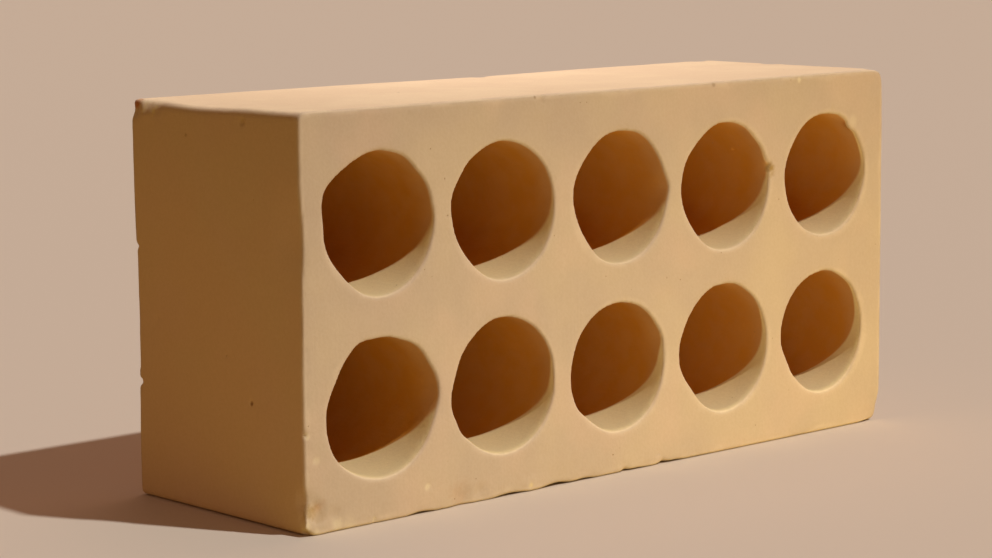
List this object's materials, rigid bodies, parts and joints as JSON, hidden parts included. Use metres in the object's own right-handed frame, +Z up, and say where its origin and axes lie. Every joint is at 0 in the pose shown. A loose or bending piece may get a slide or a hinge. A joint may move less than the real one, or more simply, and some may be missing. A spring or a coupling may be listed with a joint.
{
  "type": "clay brick",
  "caption": "Pale fired-clay brick, extruded and wire-cut, with two rows of round holes through its bed faces, standing on its long narrow side.",
  "frame": {"origin": "middle of the long narrow side that the brick stands on", "axes": "+X along the length, +Y along the holes from the front bed face to the rear one, +Z up across the width"},
  "size_m": [0.22, 0.07, 0.105],
  "materials": {
    "fired_clay": "matt, cream to tan fired clay with faint yellow and pink clouds"
  },
  "bodies": {
    "root": {"brick": "fired_clay"}
  },
  "joints": []
}
